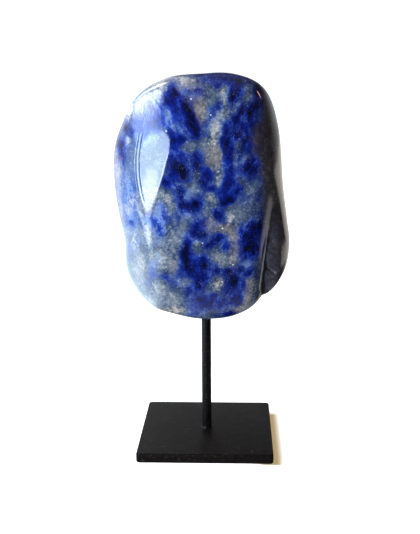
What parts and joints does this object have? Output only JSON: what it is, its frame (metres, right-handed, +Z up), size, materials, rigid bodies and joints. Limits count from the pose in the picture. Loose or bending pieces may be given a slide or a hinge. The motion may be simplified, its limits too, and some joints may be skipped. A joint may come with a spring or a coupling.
{
  "type": "polished sodalite free-form on a stand",
  "caption": "Polished blue and grey sodalite stone held upright on a black steel pin that stands in a square black base plate.",
  "frame": {"origin": "centre of the underside of the base plate", "axes": "+Z up, the broad front face of the stone looks along -Y, +X to its right"},
  "size_m": [0.0907, 0.07, 0.1935],
  "materials": {
    "stone": "polished, deep blue with grey, white and tan veins",
    "pin": "satin black",
    "base_plate": "satin black, fine grain"
  },
  "bodies": {
    "root": {"stone": "stone", "pin": "pin", "base_plate": "base_plate"}
  },
  "joints": []
}
